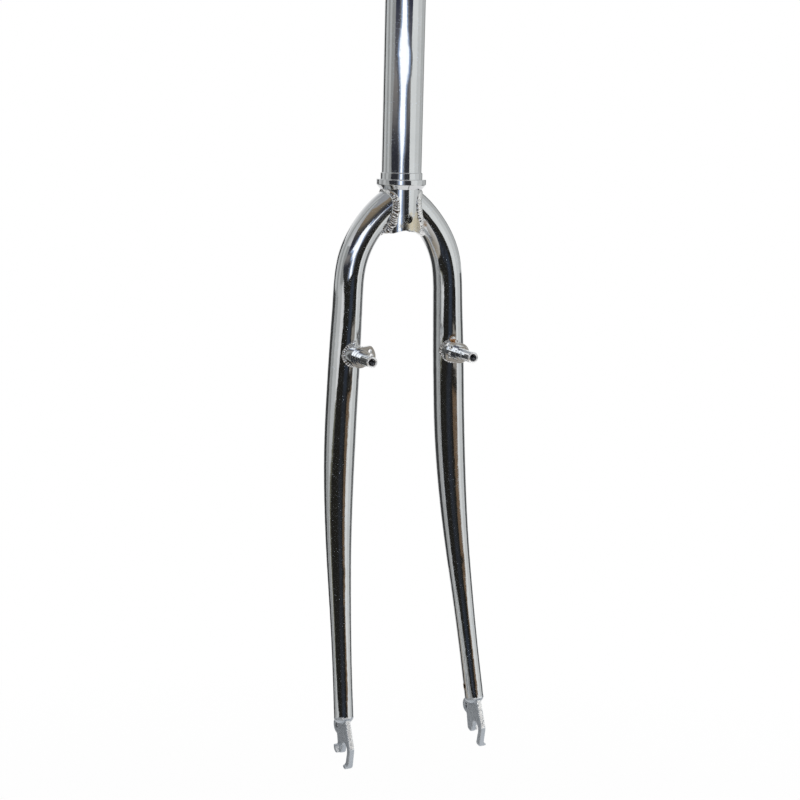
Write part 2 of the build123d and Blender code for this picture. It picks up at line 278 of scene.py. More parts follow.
# Weld beads. Those at the crown differ from side to side.
CROWN_REACH = 2.7 * MM               # of the bead over each skin
CROWN_RISE = {"left": 0.8 * MM, "right": 1.4 * MM}
CROWN_GROOVE = {"left": 0.35, "right": 1.0}  # how dark the painted shade in the grooves is
CROWN_FLARE = {"left": 0.0, "right": 1.0}    # extra reach over the steerer, low on the seam
CROWN_PITCH = 1.7 * MM               # of the ripples
BOSS_REACH = 1.5 * MM
BOSS_RISE = 0.7 * MM
BOSS_PITCH = 1.5 * MM
BEAD_POINTS = 480                    # round a seam
BEAD_STEPS = 12                      # across a bead
BEAD_SINK = 0.3 * MM                 # of its edges under the skins
BEAD_LUMP = 3.1 * MM                 # size of its lumps
BEAD_GRAIN = 0.9 * MM                # size of its grains
BEAD_WANDER = 0.15                   # of its reach, with the lumps
BEAD_CREST = 0.6                     # share of the rise that a smooth bead has
RIPPLE_BOW = 0.5                     # of a ripple, in pitches
RIPPLE_WANDER = 0.9                  # of a ripple with the lumps, in pitches
RIPPLE_RISE = 0.5                    # shares of the rise
LUMP_RISE = 0.3
GRAIN_RISE = 0.4
ROUGH_DROP = 0.1
GRAINS_ACROSS = 3                    # a bead
TAIL = 0.5 * MM                      # of the steerer's end below the seam
TAIL_FLATNESS = 0.7                  # of the bead there
TAIL_OVER_STEERER = 0.2              # its extra reach there
TAIL_OVER_BLADE = 1.5

# Places round the crown's seam, as sines of the turn: 1 at its top and -1 at its lowest point
CALM_ABOVE = (0.15, 0.55)            # where the bead turns smooth
FLARE_BELOW = (-0.1, -0.6)           # where it reaches further
TAIL_BELOW = (-0.9, -0.98)           # where it turns under the steerer's end
TOP_THINNING = 0.7
LOW_THINNING = 0.25

# Drops of filler and rough tips
DROP_RADIUS = 2.4 * MM
DROP_HEIGHT = 8.4 * MM               # over the boss's axis
DROP_FINISH = {"left": "rust", "right": "weld"}
DROP_VARIETY = 300                   # per metre, so that no two drops are alike
DROP_LUMPS = (1.6, 0.18)             # their number on a radius, and their share of it
DROP_GRAINS = (5.0, 0.06)
RUST_COLOURS = (
    (0.32, (0.07, 0.03, 0.012)),
    (0.5, (0.33, 0.15, 0.05)),
    (0.68, (0.5, 0.34, 0.2)),
)
RUST_TOP = (1.1 * MM, 1.6 * MM)      # over the drop's middle, where the rust ends
RUST_WAVES = 1.5 * MM                # of that edge
RUST_GRAIN = 1.2 * MM
RUST_DEPTH = 0.15 * MM
BARE_COLOUR = (0.7, 0.7, 0.7)
METAL_FADE = (-0.4, 1.0)             # from rust, 0, to bare plating, 1
ROUGH_FADE = (1.4, -0.1)
DOME_COLLAR = 0.8 * MM               # of the dome, up inside the blade's tip
DOME_CLEARANCE = 0.02 * MM           # of the collar
DOME_LUMP = 4.0 * MM                 # size of its lumps
DOME_SWELL = 0.12 * MM               # and their height
CRUST_GRAINS = (1.7 * MM, 0.8 * MM)  # coarse and fine ones, at the front of the tip
CRUST_RISE = 0.75 * MM
CRUST_LEVEL = 0.25                   # a higher one lets more of it show
CRUST_NARROWNESS = 6
CRUST_DROOP = 0.5                    # down the blade's axis

# Threads. Their margin and profile are in pitches.
POST_PITCH = 1.0 * MM
EYELET_PITCH = 0.8 * MM
TURN_STEPS = 32
THREAD_MARGIN = 1.2                  # of a hole's length that is left free
THREAD_LEAST = 0.05                  # share of the ridge that is left at its ends
RUN_OUT_STEPS = TURN_STEPS / 2       # over which the ridge rises
THREAD_PROFILE = ((-0.45, -0.02), (-0.06, 0.3), (0.06, 0.3), (0.45, -0.02))    # along and off the wall

# Cut end of the steerer and forged edges of the fork ends
ARCH_RISE = 2.4 * MM
ARCH_HALF_WIDTH = 10.0 * MM
CUT_DEPTH = 0.1 * MM                 # within which a point is on the cut end
EDGE_GRAIN = 0.35 * MM
EDGE_SOFTNESS = 0.5
EDGE_ROUNDS = 16

# Polish of the blades
POLISH_RADIUS = 4.0 * MM             # over which the shading is evened out
SAME_SKIN = 0.9                      # least cosine between normals of one smooth skin


# Helpers for objects and meshes


def new_object(name, mesh, *materials):
    made = bpy.data.objects.new(name, mesh)
    bpy.context.scene.collection.objects.link(made)
    for material in materials:
        mesh.materials.append(material)
    return made


def mesh_from(name, points, faces, smooth=True):
    mesh = bpy.data.meshes.new(name)
    mesh.from_pydata([tuple(point) for point in points], [], faces)
    mesh.polygons.foreach_set("use_smooth", [smooth] * len(mesh.polygons))
    mesh.update()
    return mesh


def ring_faces(rings, corners, closed=False):
    """Quads between neighbouring rings of points, and from the last to the first where closed."""
    faces = []
    for ring in range(rings if closed else rings - 1):
        here = ring * corners
        there = (ring + 1) % rings * corners
        for corner in range(corners):
            after = (corner + 1) % corners
            faces.append((here + corner, there + corner, there + after, here + after))
    return faces


def part_way(value, start, stop):
    """0 before start, 1 past stop and straight between them. Stop may be the lower one."""
    return min(1.0, max(0.0, (value - start) / (stop - start)))


def mirrored(vector, side):
    return Vector((side * vector.x, vector.y, vector.z))


# Helpers for shader nodes


def grey(level):
    return (level, level, level)


def feed(tree, socket, value):
    """Links an output to the socket, or sets the socket to a plain value."""
    if isinstance(value, bpy.types.NodeSocket):
        tree.links.new(value, socket)
    else:
        socket.default_value = value


def node(tree, kind, **inputs):
    """A new node with the given inputs. A key of the form i_NUMBER names an input by its place."""
    made = tree.nodes.new(kind)
    for key, value in inputs.items():
        place = int(key[2:]) if key.startswith("i_") else key.replace("_", " ").title()
        feed(tree, made.inputs[place], value)
    return made


def math_node(tree, operation, *values):
    made = tree.nodes.new("ShaderNodeMath")
    made.operation = operation
    for socket, value in zip(made.inputs, values):
        feed(tree, socket, value)
    return made.outputs[0]


def product(tree, value, *factors):
    for factor in factors:
        value = math_node(tree, "MULTIPLY", value, factor)
    return value


def new_material(name):
    material = bpy.data.materials.new(name)
    material.use_nodes = True
    material.node_tree.nodes.clear()
    return material, material.node_tree


def place_coordinates(tree):
    return tree.nodes.new("ShaderNodeTexCoord").outputs["Object"]


def attribute(tree, name):
    made = tree.nodes.new("ShaderNodeAttribute")
    made.attribute_name = name
    return made


def noise_node(tree, where, size, detail=3.0, roughness=0.55):
    """Soft noise with patches of about the given size, in metres."""
    return node(
        tree,
        "ShaderNodeTexNoise",
        vector=where,
        scale=1 / size,
        detail=detail,
        roughness=roughness,
    ).outputs["Fac"]


def ramp(tree, value, *stops):
    """Colour ramp through the given positions and colours."""
    made = tree.nodes.new("ShaderNodeValToRGB")
    tree.links.new(value, made.inputs[0])
    elements = made.color_ramp.elements
    while len(elements) < len(stops):
        elements.new(0.5)
    for element, (position, colour) in zip(elements, stops):
        element.position = position
        element.color = (*colour, 1)
    return made.outputs[0]


def fade(tree, value, start, stop):
    """0 before start, 1 past stop and straight between them. Stop may be the lower one."""
    return node(tree, "ShaderNodeMapRange", i_0=value, i_1=start, i_2=stop).outputs[0]


def mix_colour(tree, share, first, second):
    """The first colour, with a share of the second. Both are plain colours or outputs."""
    made = tree.nodes.new("ShaderNodeMix")
    made.data_type = "RGBA"
    tree.links.new(share, made.inputs[0])
    for socket, colour in ((made.inputs[6], first), (made.inputs[7], second)):
        feed(tree, socket, colour if isinstance(colour, bpy.types.NodeSocket) else (*colour, 1))
    return made.outputs[2]


# Camera


def camera_turn():
    """The camera's right, up and backward directions, as columns."""
    back = Vector((
        math.sin(CAMERA_AZIMUTH) * math.cos(CAMERA_ELEVATION),
        -math.cos(CAMERA_AZIMUTH) * math.cos(CAMERA_ELEVATION),
        math.sin(CAMERA_ELEVATION),
    ))
    level = Vector((math.cos(CAMERA_AZIMUTH), math.sin(CAMERA_AZIMUTH), 0))
    upright = back.cross(level)
    right = level * math.cos(CAMERA_ROLL) + upright * math.sin(CAMERA_ROLL)
    up = upright * math.cos(CAMERA_ROLL) - level * math.sin(CAMERA_ROLL)
    return Matrix((right, up, back)).transposed()


def add_camera():
    data = bpy.data.cameras.new("camera")
    data.sensor_width = SENSOR_WIDTH
    data.lens = FOCAL_LENGTH / PHOTO_SIZE * data.sensor_width
    data.shift_x = -PICTURE_SHIFT / PHOTO_SIZE
    data.shift_y = PICTURE_SHIFT / PHOTO_SIZE
    camera = bpy.data.objects.new("camera", data)
    camera.matrix_world = Matrix.Translation(CAMERA_PLACE) @ camera_turn().to_4x4()
    bpy.context.scene.collection.objects.link(camera)
    bpy.context.scene.camera = camera


# Studio


def add_world():
    """White all round, and duller overhead in the chrome."""
    world = bpy.data.worlds.new("studio")
    world.use_nodes = True
    tree = world.node_tree
    tree.nodes.clear()
    way = tree.nodes.new("ShaderNodeTexCoord").outputs["Generated"]
    height = node(tree, "ShaderNodeSeparateXYZ", vector=way).outputs[2]
    in_chrome = tree.nodes.new("ShaderNodeLightPath").outputs["Is Glossy Ray"]
    dull = product(tree, fade(tree, height, *SKY_FADE), in_chrome)
    colour = mix_colour(tree, dull, grey(1.0), SKY_OVERHEAD)
    sky = node(tree, "ShaderNodeBackground", color=colour, strength=1.0)
    node(tree, "ShaderNodeOutputWorld", surface=sky.outputs[0])
    bpy.context.scene.world = world


def add_floor():
    """A pale floor that takes the shadow near the fork and turns plain white far from it."""
    material, tree = new_material("floor")
    paint = node(tree, "ShaderNodeBsdfDiffuse", color=(*FLOOR_PAINT, 1))
    glow = node(tree, "ShaderNodeEmission", color=(1, 1, 1, 1), strength=1.0)
    distance = node(tree, "ShaderNodeVectorMath", i_0=place_coordinates(tree))
    distance.operation = "LENGTH"
    far = fade(tree, distance.outputs["Value"], *FLOOR_FADE)
    share = math_node(tree, "MULTIPLY_ADD", far, 1 - FLOOR_GLOW, FLOOR_GLOW)
    mixed = node(
        tree,
        "ShaderNodeMixShader",
        i_0=share,
        i_1=paint.outputs[0],
        i_2=glow.outputs[0],
    )
    node(tree, "ShaderNodeOutputMaterial", surface=mixed.outputs[0])
    half = FLOOR_SIZE / 2
    corners = [(x, y, 0) for x, y in ((-half, -half), (half, -half), (half, half), (-half, half))]
    floor = new_object("floor", mesh_from("floor", corners, [(0, 1, 2, 3)], smooth=False), material)
    floor.location.z = FLOOR_HEIGHT


def card_material(name):
    """Light of the colour that each point of the card has."""
    material, tree = new_material(name)
    glow = node(tree, "ShaderNodeEmission", color=attribute(tree, "tone").outputs["Color"], strength=1.0)
    node(tree, "ShaderNodeOutputMaterial", surface=glow.outputs[0])
    return material


def add_card(name, rows, distance, edge=None):
    """A curved card round the fork, seen only in the chrome. Its sides fade to the edge, if any."""
    points = []
    tones = []
    faces = []
    for height, start, stop, colour in rows:
        for step in range(CARD_STEPS + 1):
            share = step / CARD_STEPS
            angle = CAMERA_AZIMUTH + math.radians(start + (stop - start) * share)
            points.append((distance * math.sin(angle), -distance * math.cos(angle), height))
            tone = Vector(edge).lerp(colour, math.sin(math.pi * share)) if edge else colour
            tones += [*tone, 1.0]
    for row in range(len(rows) - 1):
        for step in range(CARD_STEPS):
            corner = row * (CARD_STEPS + 1) + step
            faces.append((corner, corner + 1, corner + CARD_STEPS + 2, corner + CARD_STEPS + 1))
    mesh = mesh_from(name, points, faces, smooth=False)
    mesh.attributes.new("tone", "FLOAT_COLOR", "POINT").data.foreach_set("color", tones)
    card = new_object(name, mesh, card_material(name))
    card.visible_camera = False
    card.visible_diffuse = False
    card.visible_shadow = False


def add_walls(walls, distance):
    """Plain cards, each of one grey."""
    for name, start, stop, low, high, level in walls:
        colour = tuple(level * share for share in WALL_TINT)
        add_card(name, ((high, start, stop, colour), (low, start, stop, colour)), distance)


def strip(factor, margin, colour):
    """Rows of the strip light, or of the glow round it, which is wider than the light itself."""
    rows = []
    for height, start, stop in STRIP_EDGES:
        rows.append((height, start * factor - margin, stop * factor + margin, colour))
    return rows


def add_lamp(name, place, target, size, power, in_chrome):
    """A round lamp. Where it isn't seen in the chrome, it only lights what is dull."""
    data = bpy.data.lights.new(name, "AREA")
    data.shape = "DISK"
    data.size = size
    data.energy = power
    lamp = bpy.data.objects.new(name, data)
    lamp.visible_glossy = in_chrome
    lamp.location = place
    lamp.rotation_mode = "QUATERNION"
    lamp.rotation_quaternion = (target - place).to_track_quat("-Z", "Y")
    bpy.context.scene.collection.objects.link(lamp)


def add_studio():
    add_world()
    add_floor()
    add_card("dark_screen", DARK_ROWS, DARK_DISTANCE)
    add_card("blue_screen", BLUE_ROWS, BLUE_DISTANCE, edge=BLACK)
    add_card("brown_screen", BROWN_ROWS, BROWN_DISTANCE)
    add_card("post_screen", POST_ROWS, BROWN_DISTANCE)
    add_card("blade_shade", SHADE_ROWS, SHADE_DISTANCE)
    add_walls(BLADE_WALLS, BLADE_DISTANCE)
    add_card("strip_haze", strip(factor=1.3, margin=12, colour=HAZE), HAZE_DISTANCE, edge=HAZE_EDGE)
    add_card("strip_glow", strip(factor=1.15, margin=4, colour=GLOW), GLOW_DISTANCE)
    add_card("strip_light", strip(factor=1.0, margin=0, colour=WHITE), LIGHT_DISTANCE)
    add_card("ground", GROUND_ROWS, GROUND_DISTANCE, edge=GROUND_EDGE)
    add_walls(ROOM_WALLS, ROOM_DISTANCE)
    centre = (cad_low + cad_high) / 2
    up = camera_turn().col[1]
    add_lamp("soft_light", SOFT_LIGHT_PLACE, centre, SOFT_LIGHT_SIZE, SOFT_LIGHT_POWER, in_chrome=False)
    add_lamp("flash", CAMERA_PLACE + up * FLASH_RISE, centre, FLASH_SIZE, FLASH_POWER, in_chrome=True)


# Materials


def near_spots(tree, where, spots):
    """1 at the middle of each spot, given by its place and its radius, in metres."""
    most = 0.0
    for place, radius in spots:
        distance = node(tree, "ShaderNodeVectorMath", i_0=where, i_1=place)
        distance.operation = "DISTANCE"
        nearness = fade(tree, distance.outputs["Value"], radius, SPOT_CORE * radius)
        most = math_node(tree, "MAXIMUM", most, nearness)
    return most


def stains_and_groove_shade(tree, where, share, spots, groove_shade):
    """1 on a share of ragged patches of staining, which gather at the spots, and, as painted shade, in
    the grooves of a bead.
    """
    patches = noise_node(tree, where, STAIN_SIZE, detail=6, roughness=0.65)
    if spots:
        patches = math_node(tree, "MULTIPLY_ADD", near_spots(tree, where, spots), SPOT_PULL, patches)
    stained_and_shaded = fade(tree, patches, *(1 - share + step for step in STAIN_FADE))
    # Painted shade in the grooves of a bead, in the colour of the staining
    if groove_shade:
        groove = attribute(tree, "groove").outputs["Fac"]
        stained_and_shaded = math_node(tree, "MAXIMUM", stained_and_shaded, fade(tree, groove, *GROOVE_FADE))
    return stained_and_shaded


def painted_flash_glints(tree, where):
    """Painted glints of the flash: bright specks on what faces forward and a little up, towards the
    flash.
    """
    normal = tree.nodes.new("ShaderNodeNewGeometry").outputs["Normal"]
    facing = node(tree, "ShaderNodeSeparateXYZ", vector=normal)
    front = fade(tree, facing.outputs[1], *FRONT_FADE)
    rising = fade(tree, facing.outputs[2], *RISING_FADE)
    specks = fade(tree, noise_node(tree, where, SPECK_SIZE), *SPECK_FADE)
    return product(tree, front, rising, specks)


def painted_sparkles(tree, where, share):
    """1 on a share of fine dots, in patches, painted bluish white as sparkles that stand in for glints
    of the flash in the plating.
    """
    grains = node(tree, "ShaderNodeTexVoronoi", vector=where, scale=1 / DOT_SIZE)
    dots = fade(tree, grains.outputs["Distance"], *DOT_FADE)
    chance = node(tree, "ShaderNodeSeparateColor", color=grains.outputs["Color"]).outputs[1]
    picked = fade(tree, chance, 1 - share, 1 - share + DOT_CHOICE)
    patches = fade(tree, noise_node(tree, where, DOT_PATCH_SIZE, detail=2), *DOT_PATCH_FADE)
    return product(tree, dots, picked, patches)


def painted_post_end_highlight(tree, where):
    """1 on the ends of the brake posts, which are painted white as a highlight and made rougher."""
    ahead = node(tree, "ShaderNodeSeparateXYZ", vector=where).outputs[1]
    return fade(tree, ahead, -POST_REACH, -POST_REACH - POST_END_FADE)


def pitted_normal(tree, where, depth, size, share):
    """The surface's direction, with rounded edges, soft waves and a share of fine pits."""
    rounded = node(tree, "ShaderNodeBevel", radius=EDGE_ROUND)
    wavy = node(
        tree,
        "ShaderNodeBump",
        strength=1.0,
        distance=WAVE_DEPTH,
        height=noise_node(tree, where, WAVE_SIZE, detail=1),
        normal=rounded.outputs[0],
    )
    pits = node(tree, "ShaderNodeTexVoronoi", vector=where, scale=1 / size)
    hollow = fade(tree, pits.outputs["Distance"], *PIT_FADE)
    chance = node(tree, "ShaderNodeSeparateColor", color=pits.outputs["Color"]).outputs[0]
    picked = fade(tree, chance, share, 0.0)
    pitted = node(
        tree,
        "ShaderNodeBump",
        strength=1.0,
        distance=depth,
        height=product(tree, hollow, picked, -1.0),
        normal=wavy.outputs[0],
    )
    return pitted.outputs[0]


def chrome_material(
    name, plating, stain_and_shade_colour, stain_share, smooth, rough, pit_depth, pit_size, pit_share,
    spots=(), groove_shade=False, metallic=1.0, flash_glints=False, bright_post_ends=False, sparkle=0.0
):
    """Chrome plating with polishing haze, pits, ripples and brown staining, with painted shade in the
    grooves of beads, painted flash glints on what faces forward, painted sparkles and a painted
    highlight on the post ends.
    """
    material, tree = new_material(name)
    where = place_coordinates(tree)
    stained_and_shaded = stains_and_groove_shade(tree, where, stain_share, spots, groove_shade)
    cloud = noise_node(tree, where, CLOUD_SIZE, detail=4)
    dimmed = [CLOUD_LEVEL * level for level in plating]
    tone = ramp(tree, cloud, *zip(CLOUD_FADE, (dimmed, plating)))
    colour = mix_colour(tree, stained_and_shaded, tone, stain_and_shade_colour)
    haze = noise_node(tree, where, HAZE_SIZE, detail=5)
    polish = ramp(tree, haze, *zip(HAZE_FADE, (grey(smooth), grey(rough))))
    roughness = math_node(tree, "MULTIPLY_ADD", stained_and_shaded, STAIN_ROUGHNESS, polish)
    # Painted glints of the flash, in specks on what faces forward and a little up
    if flash_glints:
        colour = mix_colour(tree, painted_flash_glints(tree, where), colour, FLASH_GLINT_COLOUR)
    # Painted sparkles, bluish white and a little rougher
    if sparkle:
        dots = painted_sparkles(tree, where, sparkle)
        colour = mix_colour(tree, dots, colour, SPARKLE_COLOUR)
        roughness = math_node(tree, "MULTIPLY_ADD", dots, DOT_ROUGHNESS, roughness)
    # Painted highlight on the ends of the posts: white, and rougher
    if bright_post_ends:
        dull = painted_post_end_highlight(tree, where)
        colour = mix_colour(tree, dull, colour, POST_END_HIGHLIGHT)
        roughness = math_node(tree, "MULTIPLY_ADD", dull, POST_END_ROUGHNESS, roughness)
    surface = node(
        tree,
        "ShaderNodeBsdfPrincipled",
        base_color=colour,
        metallic=metallic,
        roughness=roughness,
        normal=pitted_normal(tree, where, pit_depth, pit_size, pit_share),
    )
    node(tree, "ShaderNodeOutputMaterial", surface=surface.outputs[0])
    return material


def rust_material():
    """Rust on the lower part of the drop of filler, with bare plating above it."""
    material, tree = new_material("rust")
    where = place_coordinates(tree)
    crust = noise_node(tree, where, RUST_GRAIN, detail=6, roughness=0.7)
    rusty = ramp(tree, crust, *RUST_COLOURS)
    height = node(tree, "ShaderNodeSeparateXYZ", vector=where).outputs[2]
    wavy = math_node(tree, "MULTIPLY_ADD", crust, RUST_WAVES, height)
    bare = fade(tree, wavy, *(DROP_HEIGHT - POST_DROP + rise for rise in RUST_TOP))
    bump = node(tree, "ShaderNodeBump", strength=1.0, distance=RUST_DEPTH, height=crust)
    surface = node(
        tree,
        "ShaderNodeBsdfPrincipled",
        base_color=mix_colour(tree, bare, rusty, BARE_COLOUR),
        metallic=fade(tree, bare, *METAL_FADE),
        roughness=fade(tree, bare, *ROUGH_FADE),
        normal=bump.outputs[0],
    )
    node(tree, "ShaderNodeOutputMaterial", surface=surface.outputs[0])
    return material


def add_materials():
    finishes = {}
    finishes["steerer"] = chrome_material(
        "steerer_chrome",
        plating=CHROME,
        stain_and_shade_colour=(0.61, 0.55, 0.43),
        stain_share=0.22,
        smooth=0.05,
        rough=0.09,
        pit_depth=0.006 * MM,
        pit_size=0.7 * MM,
        pit_share=0.4,
        spots=STAINED_SPOTS,
        # share of painted sparkles
        sparkle=0.3,
    )
    finishes["chrome_tube"] = chrome_material(
        "chrome_tube",
        plating=CHROME,
        stain_and_shade_colour=BROWN_STAIN,
        stain_share=0.22,
        smooth=0.05,
        rough=0.1,
        pit_depth=0.007 * MM,
        pit_size=0.6 * MM,
        pit_share=0.2,
        spots=STAINED_SPOTS,
        # share of painted sparkles
        sparkle=0.22,
    )
    finishes["boss"] = chrome_material(
        "satin_chrome",
        plating=(0.78, 0.79, 0.8),
        stain_and_shade_colour=BROWN_STAIN,
        stain_share=0.22,
        smooth=0.07,
        rough=0.14,
        pit_depth=0.02 * MM,
        pit_size=0.7 * MM,
        pit_share=0.2,
        spots=STAINED_SPOTS,
        # painted highlight on the ends of the posts
        bright_post_ends=True,
    )
    # Steel threads: bare steel, painted darker still as the shade inside the holes
    finishes["thread"] = chrome_material(
        "thread_steel_painted_darker",
        plating=(0.2, 0.2, 0.21),
        stain_and_shade_colour=(0.1, 0.07, 0.05),
        stain_share=0.3,
        smooth=0.2,
        rough=0.4,
        pit_depth=0.01 * MM,
        pit_size=0.5 * MM,
        pit_share=0.3,
    )
    finishes["satin_plate"] = chrome_material(
        "satin_plate",
        plating=(0.38, 0.41, 0.445),
        stain_and_shade_colour=(0.3, 0.28, 0.26),
        stain_share=0.22,
        smooth=0.24,
        rough=0.36,
        pit_depth=0.02 * MM,
        pit_size=0.8 * MM,
        pit_share=0.3,
        metallic=0.6,
        # painted glints of the flash on the front edges
        flash_glints=True,
    )
    finishes["weld"] = chrome_material(
        "weld_metal",
        plating=(0.78, 0.78, 0.78),
        stain_and_shade_colour=(0.06, 0.035, 0.02),
        stain_share=0.24,
        smooth=0.07,
        rough=0.16,
        pit_depth=0.08 * MM,
        pit_size=0.8 * MM,
        pit_share=0.4,
        # painted shade in the grooves between the ripples, in the dark colour above
        groove_shade=True,
    )
    finishes["rust"] = rust_material()
    return finishes


def dress_nodes(finishes):
    """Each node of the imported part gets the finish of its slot, but for the steerer and the bosses."""
    for part in frame["record"]["subparts"]:
        name = part["node"]
        finish = part["material_slot"]
        if name.endswith(("brake_boss", "spring_plate")):
            finish = "boss"
        if name == "steerer_tube":
            finish = "steerer"
        mesh = nodes[name].data
        mesh.materials.clear()
        mesh.materials.append(finishes[finish])


# Shapes of the welds and threads


class SeamPoint:
    """A point of the seam where two skins meet, and the look of the bead there."""

    def __init__(self, place, first, second, slim=1.0, under=0.0, calm=0.0, flare=0.0):
        self.place = place
        self.first = first           # normal of the first skin
        self.second = second         # normal of the second skin
        self.slim = slim             # share of the full size
        self.under = under           # how far the bead turns under the steerer's end
        self.calm = calm             # how smooth it is
        self.flare = flare           # its extra reach over the first skin


def crown_seam(side, flare):
    """Points round the blade's joint with the steerer, whose skin is the first one."""
    outward = Vector((math.cos(STUB_ANGLE), 0, math.sin(STUB_ANGLE)))
    seam = []
    for step in range(BEAD_POINTS):
        turn = 2 * math.pi * step / BEAD_POINTS
        depth = BLADE_RADIUS * math.cos(turn)
        width = JOINT_HALF_WIDTH * math.sin(turn)
        across = math.sqrt(ROOT_RADIUS ** 2 - depth ** 2)
        reach = (across - width * math.cos(STUB_ANGLE)) / math.sin(STUB_ANGLE)
        height = width * math.sin(STUB_ANGLE) - reach * math.cos(STUB_ANGLE) - AXIS_DROP
        steerer = Vector((across, depth, 0)).normalized()
        blade = Vector((0, depth / BLADE_RADIUS ** 2, 0)) + outward * (width / JOINT_HALF_WIDTH ** 2)
        under = part_way(math.sin(turn), *TAIL_BELOW)
        thinning = TOP_THINNING if turn < math.pi else LOW_THINNING
        seam.append(SeamPoint(
            mirrored(Vector((across, depth, height)), side),
            mirrored(steerer, side),
            mirrored(blade.normalized(), side),
            slim=1 - thinning * math.sin(turn) ** 4,
            under=under,
            calm=part_way(math.sin(turn), *CALM_ABOVE),
            flare=flare * part_way(math.sin(turn), *FLARE_BELOW) * (1 - under),
        ))
    return seam


def boss_seam(side):
    """Points round the boss on the blade. The boss's skin is the first one."""
    seam = []
    for step in range(BEAD_POINTS):
        turn = 2 * math.pi * step / BEAD_POINTS
        x = POST_X + BOSS_RADIUS * math.cos(turn)
        z = -POST_DROP + BOSS_RADIUS * math.sin(turn)
        aside = (x - BOSS_BLADE_X) / BOSS_BLADE_HALF_WIDTH
        y = -BLADE_RADIUS * math.sqrt(1 - aside ** 2)
        place = Vector((x, y, z))
        boss = Vector((math.cos(turn), 0, math.sin(turn)))
        blade = Vector((aside / BOSS_BLADE_HALF_WIDTH, y / BLADE_RADIUS ** 2, 0)).normalized()
        seam.append(SeamPoint(mirrored(place, side), mirrored(boss, side), mirrored(blade, side)))
    return seam


def along_skin(normal, along, other):
    """The direction in a skin, square to the seam, on the open side of the other skin."""
    way = normal.cross(along)
    return way if way.dot(other) > 0 else -way


def bead(seam, reach, rise, pitch):
    """Points, faces and groove shares of a rippled bead round a closed seam."""
    count = len(seam)
    steps = [(seam[(place + 1) % count].place - seam[place].place).length for place in range(count)]
    ripples_per_metre = round(sum(steps) / pitch) / sum(steps)
    points = []
    grooves = []
    travel = 0.0
    for place, spot in enumerate(seam):
        along = (seam[(place + 1) % count].place - seam[place - 1].place).normalized()
        to_first = along_skin(spot.first, along, spot.second).lerp(-spot.first, spot.under)
        to_second = along_skin(spot.second, along, spot.first)
        out = (spot.first + spot.second).normalized()
        lump = noise.noise(spot.place / BEAD_LUMP)
        spread = reach * spot.slim * (1 + BEAD_WANDER * lump)
        for step in range(BEAD_STEPS + 1):
            share = step / BEAD_STEPS
            lean = math.sin(share * math.pi / 2) ** 2
            arch = math.sin(share * math.pi)
            ripple = abs(math.sin(math.pi * (travel - RIPPLE_BOW * arch + RIPPLE_WANDER * lump)))
            grain = noise.noise(spot.place / BEAD_GRAIN + out * share * GRAINS_ACROSS)
            rough = RIPPLE_RISE * ripple + LUMP_RISE * lump + GRAIN_RISE * grain - ROUGH_DROP
            crest = (BEAD_CREST + (1 - spot.calm) * rough) * (1 - TAIL_FLATNESS * spot.under)
            lift = rise * spot.slim * arch * crest - BEAD_SINK * (1 - arch) + TAIL * spot.under
            over = (1 - lean) * (1 + TAIL_OVER_STEERER * spot.under + spot.flare)
            foot = to_first * over + to_second * lean * (1 + TAIL_OVER_BLADE * spot.under)
            # A flared bead follows the steerer's round skin
            fall = spot.flare * to_first.xy.length_squared * (over * spread) ** 2 / (4 * ROOT_RADIUS)
            points.append(spot.place + foot * spread + out * lift - spot.first * fall)
            # How deep in a groove each point lies, for the painted shade there
            grooves.append((1 - spot.calm) * (1 - ripple) ** 2 * arch)
        # Each section closes under both skins
        points.append(spot.place - out * 2 * BEAD_SINK)
        grooves.append(0.0)
        travel += steps[place] * ripples_per_metre
    return points, ring_faces(count, BEAD_STEPS + 2, closed=True), grooves


def lumpy_ball(centre, radius, rows=24, columns=36):
    """Points and faces of a drop of filler."""
    lumps, lump_rise = DROP_LUMPS
    grains, grain_rise = DROP_GRAINS
    points = []
    for row in range(rows + 1):
        rise = math.pi * row / rows
        for column in range(columns):
            turn = 2 * math.pi * column / columns
            aside = math.sin(rise)
            way = Vector((aside * math.cos(turn), aside * math.sin(turn), math.cos(rise)))
            lump = noise.noise(way * lumps + centre * DROP_VARIETY)
            grain = noise.noise(way * grains)
            points.append(centre + way * radius * (1 + lump_rise * lump + grain_rise * grain))
    return points, ring_faces(rows + 1, columns)


def lumpy_dome(side, rows=40, columns=96):
    """Points and faces of the weld that closes a blade's tip, rough at its front."""
    axis = TIP_DIRECTION
    ahead = Vector((0, -1, 0))
    ahead = (ahead - axis * ahead.dot(axis)).normalized()
    aside = axis.cross(ahead)
    coarse, fine = CRUST_GRAINS
    rim = [(-DOME_COLLAR, TIP_RADIUS - DOME_CLEARANCE)]
    for row in range(rows):
        rise = math.pi / 2 * row / rows
        rim.append((DOME_HEIGHT * math.sin(rise), TIP_RADIUS * math.cos(rise)))
    points = []
    for along, radius in rim:
        share = part_way(along, 0.0, DOME_HEIGHT / 2)
        for column in range(columns):
            turn = 2 * math.pi * column / columns
            way = ahead * math.cos(turn) + aside * math.sin(turn)
            point = TIP_PLACE + axis * along + way * radius
            front = max(0.0, math.cos(turn)) ** CRUST_NARROWNESS
            rough = noise.noise(point / coarse) + noise.noise(point / fine) / 2
            crust = CRUST_RISE * front * max(0.0, CRUST_LEVEL + rough)
            swell = share * (DOME_SWELL * noise.noise(point / DOME_LUMP) + crust)
            points.append(mirrored(point + (way + axis * CRUST_DROOP) * swell, side))
    faces = ring_faces(len(rim), columns)
    faces.append(tuple(range(columns)))
    faces.append(tuple(range((len(rim) - 1) * columns, len(rim) * columns)))
    return points, faces


